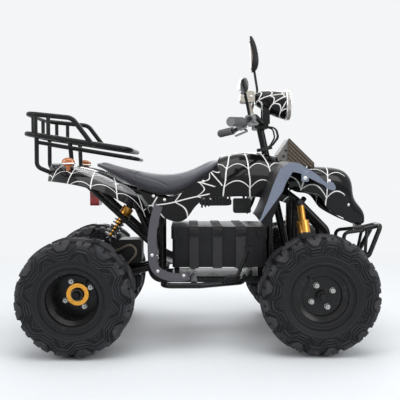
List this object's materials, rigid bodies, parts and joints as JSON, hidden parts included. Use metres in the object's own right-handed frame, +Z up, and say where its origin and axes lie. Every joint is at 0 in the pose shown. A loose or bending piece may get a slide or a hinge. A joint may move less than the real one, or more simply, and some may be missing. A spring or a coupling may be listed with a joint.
{
  "type": "electric quad bike",
  "caption": "Youth-size electric quad bike with knobbly tyres, tube frame, saddle, rear rack, front bumper and strapped battery box.",
  "frame": {"origin": "on the ground, midway between the rear of the rack and the front of the bumper, on the centre line", "axes": "+X forward, +Y to the rider's left, +Z up"},
  "size_m": [1.502, 0.876, 1.3543],
  "materials": {
    "frame_black": "satin powder coat",
    "motor_black": "satin",
    "chain_steel": "oiled",
    "spring_gold": "gloss",
    "case_black": "matte",
    "strap_webbing": "woven",
    "seat_vinyl": "grained vinyl",
    "body_black": "gloss",
    "trim_silver": "satin metallic",
    "guard_grey": "satin",
    "lamp_clear": "clear lens",
    "lamp_red": "lens",
    "lamp_amber": "lens",
    "scoop_brown": "ribbed",
    "grip_rubber": "ribbed",
    "lever_grey": "satin",
    "display_grey": "gloss",
    "mirror_black": "gloss",
    "cable_black": "sheathed",
    "rim_black": "gloss",
    "axle_steel": "machined",
    "tyre": "rubber"
  },
  "bodies": {
    "chassis": {"frame_cradle": "frame_black", "rear_subframe": "frame_black", "front_frame": "frame_black", "steering_bushes": "frame_black", "front_bumper": "frame_black", "rack_deck": "frame_black", "rack_guard": "frame_black", "rack_legs": "frame_black", "swing_arm": "frame_black", "drive_motor": "motor_black", "drive_chain": "chain_steel", "dampers": "frame_black", "coil_springs": "spring_gold", "suspension_arms": "frame_black", "battery_case": "case_black", "battery_lid": "case_black", "battery_straps": "strap_webbing", "seat": "seat_vinyl", "tank_cover": "body_black", "side_panels": "body_black", "tail_fender": "body_black", "front_fenders": "body_black", "fender_trims": "trim_silver", "nose_cowl": "body_black", "nose_lamps": "lamp_clear", "air_scoop": "scoop_brown", "scoop_bracket": "trim_silver", "horn_box": "motor_black", "tail_light": "lamp_red", "rear_indicators": "lamp_amber", "heel_guards": "guard_grey", "footrests": "frame_black", "brake_pedal": "frame_black"},
    "steering": {"steering_column": "frame_black", "handlebar": "frame_black", "grips": "grip_rubber", "brake_levers": "lever_grey", "headlight_pod": "body_black", "headlight_lens": "lamp_clear", "display": "display_grey", "mirrors": "mirror_black", "control_cables": "cable_black"},
    "knuckle_left": {"knuckle_left": "frame_black"},
    "knuckle_right": {"knuckle_right": "frame_black"},
    "tie_rod_left": {"tie_rod_left": "frame_black"},
    "tie_rod_right": {"tie_rod_right": "frame_black"},
    "front_wheel_left": {"front_rim_left": "rim_black", "front_tyre_left": "tyre"},
    "front_wheel_right": {"front_rim_right": "rim_black", "front_tyre_right": "tyre"},
    "rear_wheels": {"rear_axle": "axle_steel", "hub_rings": "spring_gold", "rear_rim_left": "rim_black", "rear_rim_right": "rim_black", "rear_tyre_left": "tyre", "rear_tyre_right": "tyre"}
  },
  "joints": [
    {"name": "steering_turn", "type": "hinge", "parent": "chassis", "child": "steering", "pos_m": [0.229, 0, 0.89], "axis": [-0.2164, 0, 0.9763], "range_deg": [-30, 30]},
    {"name": "knuckle_turn_left", "type": "hinge", "parent": "chassis", "child": "knuckle_left", "pos_m": [0.42, 0.285, 0.232], "axis": [-0.2164, 0, 0.9763], "range_deg": [-30, 30]},
    {"name": "tie_rod_turn_left", "type": "hinge", "parent": "steering", "child": "tie_rod_left", "pos_m": [0.30865, 0, 0.20731], "axis": [-0.2164, 0, 0.9763], "range_deg": [-30, 30]},
    {"name": "front_wheel_spin_left", "type": "hinge", "parent": "knuckle_left", "child": "front_wheel_left", "pos_m": [0.42, 0.337, 0.232], "axis": [0, 1, 0], "continuous": true},
    {"name": "knuckle_turn_right", "type": "hinge", "parent": "chassis", "child": "knuckle_right", "pos_m": [0.42, -0.285, 0.232], "axis": [-0.2164, 0, 0.9763], "range_deg": [-30, 30]},
    {"name": "tie_rod_turn_right", "type": "hinge", "parent": "steering", "child": "tie_rod_right", "pos_m": [0.30865, 0, 0.20731], "axis": [-0.2164, 0, 0.9763], "range_deg": [-30, 30]},
    {"name": "front_wheel_spin_right", "type": "hinge", "parent": "knuckle_right", "child": "front_wheel_right", "pos_m": [0.42, -0.337, 0.232], "axis": [0, 1, 0], "continuous": true},
    {"name": "rear_wheel_spin", "type": "hinge", "parent": "chassis", "child": "rear_wheels", "pos_m": [-0.512, 0, 0.225], "axis": [0, 1, 0], "continuous": true}
  ],
  "couplings": [
    {"joint": "knuckle_turn_left", "follows": "steering_turn", "ratio": 1},
    {"joint": "tie_rod_turn_left", "follows": "steering_turn", "ratio": -1},
    {"joint": "knuckle_turn_right", "follows": "steering_turn", "ratio": 1},
    {"joint": "tie_rod_turn_right", "follows": "steering_turn", "ratio": -1}
  ]
}
